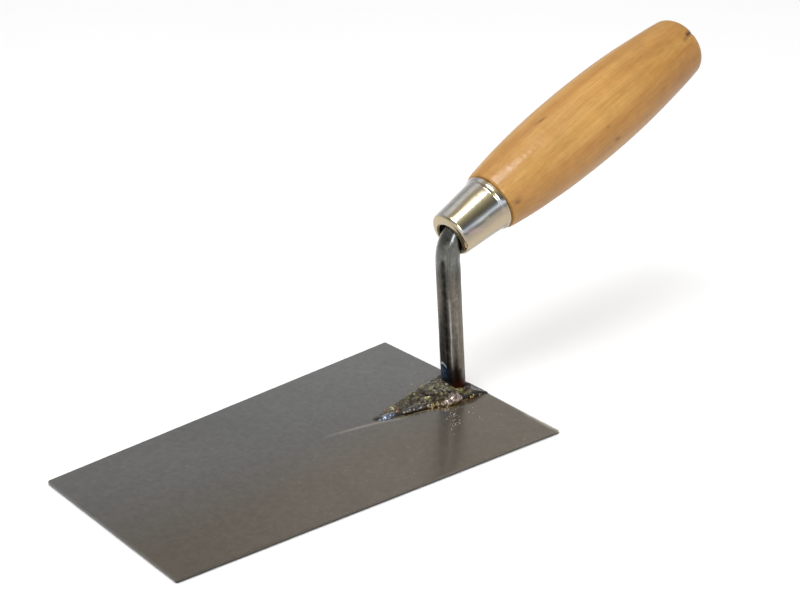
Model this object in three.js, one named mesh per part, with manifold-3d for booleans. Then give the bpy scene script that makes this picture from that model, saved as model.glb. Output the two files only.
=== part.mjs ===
// A square-toed bucket trowel: a flat tapering blade, a bent round shank welded to it through a
// triangular foot, and a turned wooden handle held by a pressed ferrule.
// Millimetres, +Z up. The origin is the middle of the blade's underside, +X runs to the heel and the handle.
import * as THREE from 'three';
import { mergeVertices } from 'three/addons/utils/BufferGeometryUtils.js';
import Module from 'manifold-3d';

const wasm = await Module();
wasm.setup();

// Driving dimensions
const clearance = 0.3; // left between pieces that are fitted into each other
const bladeLength = 180;
const bladeHeelWidth = 111.8;
const bladeToeWidth = 90.5;
const bladeThickness = 1.4;
const bladeCornerRadius = 0.8;

const footLength = 53; // from the heel edge to the foot's point
const footHalfWidth = 13; // at the heel edge
const footTipHalfWidth = 0.8;
const footThickness = 2.4; // under the shank
const footTipThickness = 1;
const footHeelThickness = 0.8;
const footFlatFrom = 5; // distances from the heel edge between which the foot's top is level
const footFlatTo = 20;

const shankRadius = 5.2;
const shankFromHeel = 8.3; // where the shank's axis meets the blade
const shankLean = 3.9; // degrees, towards the toe
const bendRadius = 14;
const tangReach = 78; // from the ferrule's shoulder to the tang's point
const tangTaper = 16;
const tangPointShare = 0.35; // of the shank's radius, at the point

const gripAngle = 22; // degrees, the handle's rise above the blade
const gripX = 79.8; // the centre of the ferrule's small shoulder
const gripZ = 74.15;

const ferruleSmallRadius = 10.2;
const ferruleLargeRadius = 11.9;
const ferruleLipRadius = 12.7;
const ferruleConeLength = 19.4;
const ferruleFlare = 1; // the length over which the cone opens into the lip
const ferruleLength = 22.8;
const ferruleWall = 0.8;
const ferruleFillet = 2;
const ferruleHoleRadius = 6.6;
const ferruleHoleDrop = 1.4; // the hole sits this far below the ferrule's axis

const handleEnd = 150.5; // all handle stations are distances from the ferrule's shoulder
const handleShoulderRadius = 13.6;
const handleBarrel = [ // [radius, station]
  [14.4, 28],
  [15.9, 39.4],
  [17.4, 57.4],
  [18.1, 75.4],
  [18.15, 91],
  [17.8, 104],
  [17, 117],
  [15.9, 129.5],
  [14.9, 139],
  [14.3, 144],
];
const buttRound = 6;
const buttDome = 1.2;
const shoulderRound = 0.6;
const spigotFront = 1.5;
const boreDepth = 82;
const mouthRadius = 7.4; // the bore's mouth
const mouthDepth = 8;

// Weld metal. Beads run between two distances from the heel edge; lumps stand on a surface by their middles.
const nearBead = { side: -1, from: 4, to: 32, lumps: 8, width: 2.6, height: 2.4 };
const farBead = { side: 1, from: 4, to: 33, lumps: 8, width: 1.7, height: 1.6 };
const beadSetOut = 0.5; // from the foot's edge to the bead's middle
const beadUneven = 0.16;
const lumpOverlap = 0.85; // of the pitch between lumps
const tipDrops = [
  { fromTip: 4, y: 0, length: 5.5, width: 3.2, height: 2.6 },
  { fromTip: 9, y: 0.4, length: 5, width: 3.8, height: 3 },
];
const collarProfile = [ // [radius, height] round the shank's base
  [0, 0],
  [7, 0],
  [6.4, 0.7],
  [5.9, 1.8],
  [0, 1.8],
];
const heap = { ahead: 5.5, length: 7.5, width: 5.6, height: 4.2 };

const roundSides = 36;
const boreSides = 28;
const collarSides = 24;
const lumpSides = [12, 8];
const shankSides = 16;
const shankSteps = 54;

const heelX = bladeLength / 2;
const toeX = -bladeLength / 2;
const footTop = bladeThickness + footThickness;
const up = new THREE.Vector3(0, 0, 1);
const grip = new THREE.Vector3(gripX, 0, gripZ);
const gripAxis = new THREE.Vector3(
  Math.cos(THREE.MathUtils.degToRad(gripAngle)),
  0,
  Math.sin(THREE.MathUtils.degToRad(gripAngle)),
);

const finishes = {
  blade: { color: 0x8b8782, roughness: 0.45, metalness: 0.9 },
  foot: { color: 0x55544c, roughness: 0.6, metalness: 0.8 },
  weld: { color: 0x8a7a58, roughness: 0.4, metalness: 0.9 },
  shank: { color: 0x5e5b58, roughness: 0.35, metalness: 0.9 },
  ferrule: { color: 0xd2c79a, roughness: 0.22, metalness: 1 },
  wood: { color: 0xd9a25c, roughness: 0.4, metalness: 0 },
};

// Closes a geometry's seams and drops the flat triangles that a lathe leaves on its axis.
function closed(geometry) {
  const bare = geometry.clone();
  bare.deleteAttribute('normal');
  bare.deleteAttribute('uv');
  const merged = mergeVertices(bare, 1e-4);
  const index = merged.index.array;
  const kept = [];
  for (let i = 0; i < index.length; i += 3) {
    const [a, b, c] = [index[i], index[i + 1], index[i + 2]];
    if (a !== b && b !== c && a !== c) {
      kept.push(a, b, c);
    }
  }
  merged.setIndex(kept);
  return merged;
}

function solid(geometry) {
  const merged = closed(geometry);
  const mesh = new wasm.Mesh({
    numProp: 3,
    vertProperties: new Float32Array(merged.attributes.position.array),
    triVerts: new Uint32Array(merged.index.array),
  });
  return new wasm.Manifold(mesh);
}

function geometryOf(manifold) {
  const mesh = manifold.getMesh();
  const geometry = new THREE.BufferGeometry();
  geometry.setAttribute('position', new THREE.BufferAttribute(new Float32Array(mesh.vertProperties), 3));
  geometry.setIndex(Array.from(mesh.triVerts));
  return geometry;
}

function piece(name, geometry, finish) {
  geometry.computeVertexNormals();
  const mesh = new THREE.Mesh(geometry, new THREE.MeshStandardMaterial({ name, ...finishes[finish] }));
  mesh.name = name;
  return mesh;
}

// An outline in X and Z, drawn out along Y to the given half width.
function drawnAlongY(points, halfWidth) {
  const shape = new THREE.Shape(points.map(([x, z]) => new THREE.Vector2(x, z)));
  const geometry = new THREE.ExtrudeGeometry(shape, { depth: 2 * halfWidth, bevelEnabled: false });
  geometry.rotateX(Math.PI / 2);
  geometry.translate(0, halfWidth, 0);
  return geometry;
}

// Turns a lathe profile given as [radius, station] about the handle's axis.
function turned(profile, sides = roundSides) {
  const points = profile.map(([radius, station]) => new THREE.Vector2(radius, station));
  const geometry = new THREE.LatheGeometry(points, sides);
  geometry.rotateX(Math.PI / 2);
  return geometry;
}

// Moves a geometry made about +Z from the shoulder at zero into its place on the handle's axis.
function toGrip(geometry) {
  geometry.applyQuaternion(new THREE.Quaternion().setFromUnitVectors(up, gripAxis));
  geometry.translate(grip.x, grip.y, grip.z);
  return geometry;
}

function arcPoints(centreRadius, centreStation, radius, from, to, steps) {
  const points = [];
  for (let i = 0; i <= steps; i += 1) {
    const angle = THREE.MathUtils.degToRad(from + ((to - from) * i) / steps);
    points.push([centreRadius + radius * Math.cos(angle), centreStation + radius * Math.sin(angle)]);
  }
  return points;
}

function makeBlade() {
  const corners = [
    [toeX, -bladeToeWidth / 2],
    [heelX, -bladeHeelWidth / 2],
    [heelX, bladeHeelWidth / 2],
    [toeX, bladeToeWidth / 2],
  ].map(([x, y]) => new THREE.Vector2(x, y));
  const shape = new THREE.Shape();
  corners.forEach((corner, i) => {
    const before = corners[(i + 3) % 4];
    const after = corners[(i + 1) % 4];
    const start = before.clone().sub(corner).setLength(bladeCornerRadius).add(corner);
    const end = after.clone().sub(corner).setLength(bladeCornerRadius).add(corner);
    if (i === 0) {
      shape.moveTo(start.x, start.y);
    } else {
      shape.lineTo(start.x, start.y);
    }
    shape.quadraticCurveTo(corner.x, corner.y, end.x, end.y);
  });
  shape.closePath();
  return new THREE.ExtrudeGeometry(shape, { depth: bladeThickness, bevelEnabled: false, curveSegments: 4 });
}

// The foot's triangle cut with its side outline. "grow" thickens it all round, for cutting neighbours.
function footSolid(grow = 0) {
  const wide = footHalfWidth + grow;
  const narrow = footTipHalfWidth + grow;
  const tipX = heelX - footLength - grow;
  const plan = new THREE.Shape();
  plan.moveTo(heelX, -wide);
  plan.lineTo(heelX, wide);
  plan.lineTo(tipX + narrow, narrow);
  plan.quadraticCurveTo(tipX, narrow, tipX, 0);
  plan.quadraticCurveTo(tipX, -narrow, tipX + narrow, -narrow);
  plan.closePath();
  const tall = 4 * footThickness;
  const prism = new THREE.ExtrudeGeometry(plan, { depth: tall, bevelEnabled: false, curveSegments: 3 });
  prism.translate(0, 0, bladeThickness - 2 * grow);
  const side = drawnAlongY(
    [
      [tipX, bladeThickness - grow],
      [heelX, bladeThickness - grow],
      [heelX, bladeThickness + footHeelThickness + grow],
      [heelX - footFlatFrom, footTop + grow],
      [heelX - footFlatTo, footTop + grow],
      [tipX, bladeThickness + footTipThickness + grow],
    ],
    2 * wide,
  );
  return solid(prism).intersect(solid(side));
}

class BendCurve extends THREE.Curve {
  constructor(centre, start, turn) {
    super();
    this.centre = centre;
    this.start = start;
    this.turn = turn;
  }

  getPoint(t, target = new THREE.Vector3()) {
    const arm = this.start.clone().sub(this.centre);
    return target.copy(arm.applyAxisAngle(new THREE.Vector3(0, 1, 0), this.turn * t).add(this.centre));
  }
}

// The shank's centreline: straight up from below the foot's top, round the bend and along the handle's axis.
function shankPath() {
  const lean = THREE.MathUtils.degToRad(shankLean);
  const rise = new THREE.Vector3(-Math.sin(lean), 0, Math.cos(lean));
  const base = new THREE.Vector3(heelX - shankFromHeel, 0, bladeThickness);
  const cross = rise.x * gripAxis.z - rise.z * gripAxis.x;
  const gap = grip.clone().sub(base);
  const alongRise = (gap.x * gripAxis.z - gap.z * gripAxis.x) / cross;
  const corner = base.clone().addScaledVector(rise, alongRise);
  const turn = rise.angleTo(gripAxis);
  const tangent = bendRadius * Math.tan(turn / 2);
  const bendStart = corner.clone().addScaledVector(rise, -tangent);
  const bendEnd = corner.clone().addScaledVector(gripAxis, tangent);
  const towardsCentre = gripAxis.clone().addScaledVector(rise, -gripAxis.dot(rise)).normalize();
  const centre = bendStart.clone().addScaledVector(towardsCentre, bendRadius);
  const path = new THREE.CurvePath();
  path.add(new THREE.LineCurve3(base, bendStart));
  path.add(new BendCurve(centre, bendStart, turn));
  path.add(new THREE.LineCurve3(bendEnd, grip.clone().addScaledVector(gripAxis, tangReach)));
  return path;
}

// The round bar, drawn to a blunt point at the tang's end. "grow" adds to its radius.
function shankBar(grow = 0) {
  const radius = shankRadius + grow;
  const section = new THREE.Shape();
  for (let i = 0; i < shankSides; i += 1) {
    const angle = (2 * Math.PI * i) / shankSides;
    const method = i === 0 ? 'moveTo' : 'lineTo';
    section[method](radius * Math.cos(angle), radius * Math.sin(angle));
  }
  section.closePath();
  const bar = new THREE.ExtrudeGeometry(section, { steps: shankSteps, extrudePath: shankPath() });
  const position = bar.attributes.position;
  const point = new THREE.Vector3();
  for (let i = 0; i < position.count; i += 1) {
    point.fromBufferAttribute(position, i).sub(grip);
    const station = point.dot(gripAxis);
    const share = THREE.MathUtils.clamp((station - tangReach + tangTaper) / tangTaper, 0, 1);
    const scale = 1 - (1 - tangPointShare) * share;
    point.addScaledVector(gripAxis, -station).multiplyScalar(scale);
    point.addScaledVector(gripAxis, station).add(grip);
    position.setXYZ(i, point.x, point.y, point.z);
  }
  return solid(bar);
}

function block(from, to) {
  const size = to.clone().sub(from);
  const geometry = new THREE.BoxGeometry(size.x, size.y, size.z);
  geometry.translate((from.x + to.x) / 2, (from.y + to.y) / 2, (from.z + to.z) / 2);
  return solid(geometry);
}

// Everything below a level, wide enough to trim any piece that stands on the blade.
function below(level) {
  const reach = bladeLength;
  return block(new THREE.Vector3(-reach, -reach, -reach), new THREE.Vector3(reach, reach, level));
}

function makeShank() {
  return geometryOf(shankBar().subtract(below(footTop)));
}

// A flattened round lump of weld metal, standing on the given height by its middle.
function lump(x, y, z, { length, width, height }, heading = 0) {
  const geometry = new THREE.SphereGeometry(1, ...lumpSides);
  geometry.scale(length, width, height);
  geometry.rotateZ(heading);
  geometry.translate(x, y, z);
  return solid(geometry);
}

function joined(lumps) {
  return lumps.reduce((whole, next) => whole.add(next));
}

// Weld that lies on the blade and stops just short of the foot.
function onBlade(weld) {
  return geometryOf(weld.subtract(below(bladeThickness)).subtract(footSolid(clearance)));
}

// One bead of uneven lumps along the foot's edge.
function makeEdgeBead({ side, from, to, lumps, width, height }) {
  const slope = (footHalfWidth - footTipHalfWidth) / footLength;
  const pitch = (to - from) / (lumps - 1);
  const row = [];
  for (let i = 0; i < lumps; i += 1) {
    const fromHeel = from + pitch * i;
    const swell = 1 + beadUneven * Math.sin(2.4 * i + 1);
    const y = side * (footHalfWidth - slope * fromHeel + beadSetOut);
    const size = { length: lumpOverlap * pitch, width: width * swell, height: height * swell };
    row.push(lump(heelX - fromHeel, y, bladeThickness, size, side * slope));
  }
  return onBlade(joined(row));
}

// The drops of weld over the foot's point.
function makeTipWeld() {
  const tipX = heelX - footLength;
  return onBlade(joined(tipDrops.map((drop) => lump(tipX + drop.fromTip, drop.y, bladeThickness, drop))));
}

// The collar of weld round the shank's base, heaped up on the toe side.
function makeShankWeld() {
  const baseX = heelX - shankFromHeel;
  const ring = collarProfile.map(([radius, height]) => new THREE.Vector2(radius, height));
  const collar = new THREE.LatheGeometry(ring, collarSides);
  collar.rotateX(Math.PI / 2);
  collar.translate(baseX, 0, footTop);
  const whole = solid(collar).add(lump(baseX - heap.ahead, 0, footTop, heap));
  return geometryOf(whole.subtract(below(footTop)).subtract(shankBar(clearance)));
}

// A pressed cup with a closed end, a rounded shoulder, a slight cone and a lip; then the hole for the shank.
function makeFerrule() {
  const shoulder = ferruleSmallRadius - ferruleFillet;
  const outside = [
    [0, -ferruleFillet],
    ...arcPoints(shoulder, 0, ferruleFillet, -90, 0, 4),
    [ferruleLargeRadius, ferruleConeLength],
    [ferruleLipRadius, ferruleConeLength + ferruleFlare],
    [ferruleLipRadius, ferruleLength],
  ];
  const inner = ferruleFillet - ferruleWall;
  const inside = [
    [ferruleLipRadius - ferruleWall, ferruleLength],
    [ferruleLargeRadius - ferruleWall, ferruleConeLength],
    ...arcPoints(shoulder, 0, inner, 0, -90, 3),
    [0, -inner],
  ];
  const cup = solid(toGrip(turned([...outside, ...inside])));
  const punchLength = 4 * ferruleFillet;
  const punch = new THREE.CylinderGeometry(ferruleHoleRadius, ferruleHoleRadius, punchLength, boreSides);
  punch.rotateX(Math.PI / 2);
  punch.translate(ferruleHoleDrop, 0, -ferruleFillet);
  return geometryOf(cup.subtract(solid(toGrip(punch))).subtract(shankBar(clearance)));
}

// The turned handle: a bore for the tang with a flared mouth that clears the bend, a spigot inside the
// ferrule, a shoulder, the barrel and a slightly domed butt.
function makeHandle() {
  const slope = (ferruleLargeRadius - ferruleSmallRadius) / ferruleConeLength;
  const spigotRadius = (station) => ferruleSmallRadius + slope * station - ferruleWall - clearance;
  const shoulderStation = ferruleLength + clearance;
  const buttRadius = handleBarrel.at(-1)[0];
  const boreRadius = shankRadius + 2 * clearance;
  const profile = [
    [0, boreDepth],
    [boreRadius, boreDepth - boreRadius],
    [boreRadius, mouthDepth],
    [mouthRadius, spigotFront],
    [spigotRadius(spigotFront), spigotFront],
    [spigotRadius(ferruleConeLength), ferruleConeLength],
    [spigotRadius(ferruleConeLength), shoulderStation],
    [handleShoulderRadius - shoulderRound, shoulderStation],
    [handleShoulderRadius, shoulderStation + shoulderRound],
    ...handleBarrel,
    ...arcPoints(buttRadius - buttRound, handleEnd - buttDome - buttRound, buttRound, 20, 80, 4),
    [0, handleEnd],
  ];
  return toGrip(closed(turned(profile)));
}

const trowel = new THREE.Group();
trowel.name = 'bucket_trowel';
trowel.add(piece('blade', makeBlade(), 'blade'));
trowel.add(piece('foot_plate', geometryOf(footSolid()), 'foot'));
trowel.add(piece('foot_weld_near', makeEdgeBead(nearBead), 'weld'));
trowel.add(piece('foot_weld_far', makeEdgeBead(farBead), 'weld'));
trowel.add(piece('foot_weld_tip', makeTipWeld(), 'weld'));
trowel.add(piece('shank_weld', makeShankWeld(), 'weld'));
trowel.add(piece('shank', makeShank(), 'shank'));
trowel.add(piece('ferrule', makeFerrule(), 'ferrule'));
trowel.add(piece('handle', makeHandle(), 'wood'));

export default trowel;
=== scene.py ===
# Square-toed bucket trowel: a welded steel blade and shank with a turned wooden handle.
# Lengths are millimetres and angles are degrees, until a mesh is made.
import bmesh
import bpy
import math
import random
from mathutils import Matrix, Vector, noise

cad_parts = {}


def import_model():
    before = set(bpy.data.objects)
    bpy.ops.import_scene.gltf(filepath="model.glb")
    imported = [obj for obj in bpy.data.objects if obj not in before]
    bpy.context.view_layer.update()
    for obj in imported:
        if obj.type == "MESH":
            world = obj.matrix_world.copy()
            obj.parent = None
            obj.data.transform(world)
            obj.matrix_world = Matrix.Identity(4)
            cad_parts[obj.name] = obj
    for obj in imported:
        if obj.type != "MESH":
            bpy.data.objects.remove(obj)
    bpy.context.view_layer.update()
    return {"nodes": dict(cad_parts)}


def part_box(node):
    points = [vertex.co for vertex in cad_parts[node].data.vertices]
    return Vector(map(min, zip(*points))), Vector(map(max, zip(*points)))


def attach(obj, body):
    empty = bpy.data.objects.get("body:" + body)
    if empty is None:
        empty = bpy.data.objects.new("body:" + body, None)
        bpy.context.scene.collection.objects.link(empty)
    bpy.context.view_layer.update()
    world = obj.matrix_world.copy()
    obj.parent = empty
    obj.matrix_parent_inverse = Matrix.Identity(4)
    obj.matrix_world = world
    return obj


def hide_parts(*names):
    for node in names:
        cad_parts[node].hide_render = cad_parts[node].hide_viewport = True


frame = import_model()
print("frame loaded:", ", ".join(sorted(frame["nodes"])))

mm = 0.001
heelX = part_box("blade")[1].x / mm
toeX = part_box("blade")[0].x / mm
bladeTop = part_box("blade")[1].z / mm
random.seed(7)


def addObject(name, data):
    thing = bpy.data.objects.new(name, data)
    bpy.context.scene.collection.objects.link(thing)
    return thing


def makePiece(name, points, faces, material, replaced=(), colours=None, floats=None):
    mesh = bpy.data.meshes.new(name)
    mesh.from_pydata([Vector(p) * mm for p in points], [], faces)
    shell = bmesh.new()
    shell.from_mesh(mesh)
    bmesh.ops.recalc_face_normals(shell, faces=shell.faces)
    shell.to_mesh(mesh)
    shell.free()
    mesh.polygons.foreach_set("use_smooth", [True] * len(mesh.polygons))
    for attributeName, values in (floats or {}).items():
        layer = mesh.attributes.new(attributeName, "FLOAT", "POINT")
        layer.data.foreach_set("value", values)
    for attributeName, values in (colours or {}).items():
        layer = mesh.attributes.new(attributeName, "FLOAT_COLOR", "POINT")
        layer.data.foreach_set("color", [c for value in values for c in (*value, 1)])
    mesh.materials.append(material)
    piece = addObject(name, mesh)
    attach(piece, "root")
    if replaced:
        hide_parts(*replaced)
    print(name, "made,", len(points), "points")
    return piece


def record(layers, **values):
    # Adds one point's value to each layer.
    for name, value in values.items():
        layers[name].append(value)


def smoothStep(low, high, value):
    t = min(1, max(0, (value - low) / (high - low)))
    return t * t * (3 - 2 * t)


def mix(a, b, share):
    return a + (b - a) * share


def mixColour(a, b, share):
    return tuple(mix(x, y, share) for x, y in zip(a, b))


def borderOf(last, lastAcross):
    # Row and column of each point round a sheet's border, in order.
    border = [(i, 0) for i in range(last)]
    border += [(last, j) for j in range(lastAcross)]
    border += [(i, lastAcross) for i in range(last, 0, -1)]
    border += [(0, j) for j in range(lastAcross, 0, -1)]
    return border


def ringFaces(first, second, sides):
    return [(first + i, first + (i + 1) % sides, second + (i + 1) % sides, second + i)
            for i in range(sides)]


def loft(rings, closeRound=False):
    # Each ring is a list of points; a ring of one point is a pole.
    points, starts, faces = [], [], []
    for ring in rings:
        starts.append(len(points))
        points.extend(ring)
    pairs = list(zip(range(len(rings) - 1), range(1, len(rings))))
    if closeRound:
        pairs.append((len(rings) - 1, 0))
    for a, b in pairs:
        sides = max(len(rings[a]), len(rings[b]))
        if len(rings[a]) == 1:
            faces += [(starts[a], starts[b] + (i + 1) % sides, starts[b] + i) for i in range(sides)]
        elif len(rings[b]) == 1:
            faces += [(starts[a] + i, starts[a] + (i + 1) % sides, starts[b]) for i in range(sides)]
        else:
            faces += ringFaces(starts[a], starts[b], sides)
    return points, faces


def smoothLine(knots, step):
    # A smooth line through the knots, as points about one step apart.
    line = []
    for i in range(len(knots) - 1):
        before, a = knots[max(i - 1, 0)], knots[i]
        b, after = knots[i + 1], knots[min(i + 2, len(knots) - 1)]
        count = max(1, round(math.dist(a, b) / step))
        for k in range(count):
            t = k / count
            line.append(tuple(
                0.5 * (2 * q + (r - p) * t + (2 * p - 5 * q + 4 * r - s) * t * t
                       + (3 * q - p - 3 * r + s) * t ** 3)
                for p, q, r, s in zip(before, a, b, after)
            ))
    line.append(tuple(knots[-1]))
    return line


def arc(centreRadius, centreStation, radius, start, end, steps):
    angles = [math.radians(mix(start, end, i / steps)) for i in range(steps + 1)]
    return [(centreRadius + radius * math.cos(a), centreStation + radius * math.sin(a)) for a in angles]


def noiseAt(x, y, z, size, seed=0):
    return noise.noise(Vector((x / size + 13.1 * seed, y / size - 7.7 * seed, z / size + 3.3 * seed)))


def startMaterial(name, settings):
    material = bpy.data.materials.new(name)
    material.use_nodes = True
    shader = material.node_tree.nodes["Principled BSDF"]
    for socket, value in settings.items():
        shader.inputs[socket].default_value = value
    return material, material.node_tree, shader


def addNode(tree, kind, values=None, links=None, **options):
    node = tree.nodes.new("ShaderNode" + kind)
    for option, value in options.items():
        setattr(node, option, value)
    for socket, value in (values or {}).items():
        node.inputs[socket].default_value = value
    for socket, source in (links or {}).items():
        tree.links.new(source, node.inputs[socket])
    return node


def place(tree, scale=(1, 1, 1), turn=(0, 0, 0)):
    # The object's own coordinates, turned and stretched; scale is in repeats per metre.
    where = addNode(tree, "TexCoord").outputs["Object"]
    turned = addNode(tree, "Mapping", {"Rotation": [math.radians(a) for a in turn]}, {"Vector": where})
    return addNode(tree, "Mapping", {"Scale": scale}, {"Vector": turned.outputs[0]}).outputs[0]


def noiseTexture(tree, scale, detail, roughness=0.5, distortion=0, turn=(0, 0, 0)):
    # scale is one number, or one for each axis where the pattern is stretched
    where = place(tree, scale if isinstance(scale, tuple) else (scale, scale, scale), turn)
    values = {"Scale": 1, "Detail": detail, "Roughness": roughness, "Distortion": distortion}
    return addNode(tree, "TexNoise", values, {"Vector": where}).outputs[0]


def ramp(tree, source, stops):
    node = addNode(tree, "ValToRGB", links={"Fac": source})
    points = node.color_ramp.elements
    while len(points) < len(stops):
        points.new(0.5)
    for point, (position, colour) in zip(points, stops):
        point.position = position
        point.color = (*colour, 1) if isinstance(colour, tuple) else (colour, colour, colour, 1)
    return node.outputs["Color"]


def blend(tree, share, a, b, blendType="MIX"):
    # Mixes two colours; either may be a socket or a plain colour.
    node = addNode(tree, "Mix", data_type="RGBA", blend_type=blendType)
    for index, value in ((0, share), (6, a), (7, b)):
        if isinstance(value, bpy.types.NodeSocket):
            tree.links.new(value, node.inputs[index])
        elif isinstance(value, tuple):
            node.inputs[index].default_value = (*value, 1)
        else:
            node.inputs[index].default_value = value
    return node.outputs[2]


def calculate(tree, operation, a, b=0.0, clamp=False):
    node = addNode(tree, "Math", operation=operation, use_clamp=clamp)
    for index, value in ((0, a), (1, b)):
        if isinstance(value, bpy.types.NodeSocket):
            tree.links.new(value, node.inputs[index])
        else:
            node.inputs[index].default_value = value
    return node.outputs[0]


def times(tree, a, b):
    return calculate(tree, "MULTIPLY", a, b)


def plus(tree, a, b, clamp=False):
    return calculate(tree, "ADD", a, b, clamp)


def shaded(tree, base, factor, share=1.0):
    return blend(tree, share, base, factor, "MULTIPLY")


def attribute(tree, name, output="Fac"):
    return addNode(tree, "Attribute", attribute_name=name).outputs[output]


def bump(tree, height, depth, strength=1.0, under=None):
    node = addNode(tree, "Bump", {"Distance": depth * mm, "Strength": strength}, {"Height": height})
    if under:
        tree.links.new(under, node.inputs["Normal"])
    return node.outputs[0]


def finish(tree, shader, sockets):
    for socket, source in sockets.items():
        tree.links.new(source, shader.inputs[socket])


blade = {
    "toeHalf": 45.25,      # half width at the toe
    "cornerRadius": 0.8,
    "edge": 0.28,          # how far in the edges are eased
    "wornFrom": 0.22,      # the heel's near half is worn to a slope, from this share of the half width
    "wornWidth": (1.0, 2.7),
    "wornSlope": 0.12,
    "crown": 0.010,        # slope of each half towards the sides at the heel
    "crownFrom": 0.15,     # share of the length from the toe where the crown starts
    "ridge": 1.3,          # half width of the ridge at the foot's point
    "wave": 0.05,          # slight unevenness of the rolled sheet
    "step": 2.0,
    "crease": 0.05,        # height of the raised crease ahead of the foot; its pale line is a painted highlight
    "creaseWidth": 0.75,
    "creaseLine": [(50, -6.9), (46.6, -6.3), (42.7, -4.9), (35.9, -2.7), (28.7, -1.1), (16, 1.4), (6, 2.4)],
    # outer edge of the brown film beside the near weld
    "filmLine": [
        (88, -14.4), (80, -15.6), (73.7, -14.6), (67, -11.9),
        (61, -8.7), (54.9, -7.0), (48, -6.4), (43, -5.1),
    ],
    "steel": (0.315, 0.303, 0.287),
    "cool": (0.33, 0.325, 0.322),
    "warm": (0.312, 0.272, 0.222),
    # painted highlight along the crease
    "pale": (0.60, 0.56, 0.49),
    "stain": (0.125, 0.082, 0.032),
    "paintedEdgeShade": (0.010, 0.009, 0.008),
    "toeShade": (0.72, 0.70, 0.67),
    "midShade": (0.84, 0.84, 0.84),
    "bare": (0.86, 0.80, 0.70),
}
bladeLow, bladeHigh = (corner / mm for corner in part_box("blade"))
heelHalf = bladeHigh.y


def halfWidth(x):
    return mix(blade["toeHalf"], heelHalf, (x - toeX) / (heelX - toeX))


def bladeLift(x, y):
    # Height of the crown: two flat halves that meet in a ridge, which fades out towards the toe.
    along = (x - toeX) / (heelX - toeX)
    slope = blade["crown"] * smoothStep(blade["crownFrom"], 0.75, along)
    soft = mix(14, blade["ridge"], smoothStep(0.45, 0.72, along))
    edge = math.hypot(halfWidth(x), soft)
    return max(0, slope * (edge - math.hypot(y, soft)))


def lineAt(line, x):
    # Height of a broken line that runs towards the toe.
    for (x0, y0), (x1, y1) in zip(line, line[1:]):
        if x >= x1:
            break
    return mix(y0, y1, min(1, max(0, (x - x0) / (x1 - x0))))


def creaseAt(x, y):
    # Share of the painted highlight along the crease at a spot: 1 along its middle, 0 away from it.
    line = blade["creaseLine"]
    fade = smoothStep(line[-1][0], 30, x) * (1 - smoothStep(45, line[0][0], x))
    return fade * math.exp(-((y - lineAt(line, x)) / blade["creaseWidth"]) ** 2)


def filmAt(x, y):
    # Share of the brown film at a spot, between its outer line and the near weld.
    line = blade["filmLine"]
    away = y - lineAt(line, x) + 0.5 * noiseAt(x, y, 0, 2.5, 24)
    inside = smoothStep(-0.5, 0.7, away) * (1 - smoothStep(-3, -1, y))
    return inside * smoothStep(line[-1][0], 47, x) * (1 - smoothStep(82, line[0][0], x))


def wornAt(x, y):
    # Height worn off the heel's near half, which widens towards the corner.
    across = smoothStep(blade["wornFrom"], 0.95, -y / heelHalf)
    width = mix(*blade["wornWidth"], across)
    start = smoothStep(blade["wornFrom"], blade["wornFrom"] + 0.05, -y / heelHalf)
    uneven = 1 + 0.25 * noiseAt(0, y, 0, 4, 5)
    return start * blade["wornSlope"] * max(0, width * uneven - (heelX - x))


def shares(length, step, edges=(0, 0.2, 0.5, 1, 1.8, 3), middle=()):
    # Positions from -1 to 1 across a length, close together near both ends and, if asked, in the middle.
    half = length / 2
    inner = [half - m for m in middle]
    count = max(2, round(((inner or [half])[0] - edges[-1]) / step))
    rest = [mix(edges[-1], (inner or [half])[0], i / count) for i in range(1, count + 1)]
    outer = [1 - e / half for e in (*edges, *rest, *inner[1:])]
    return [-s for s in outer] + outer[-2::-1]


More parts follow.
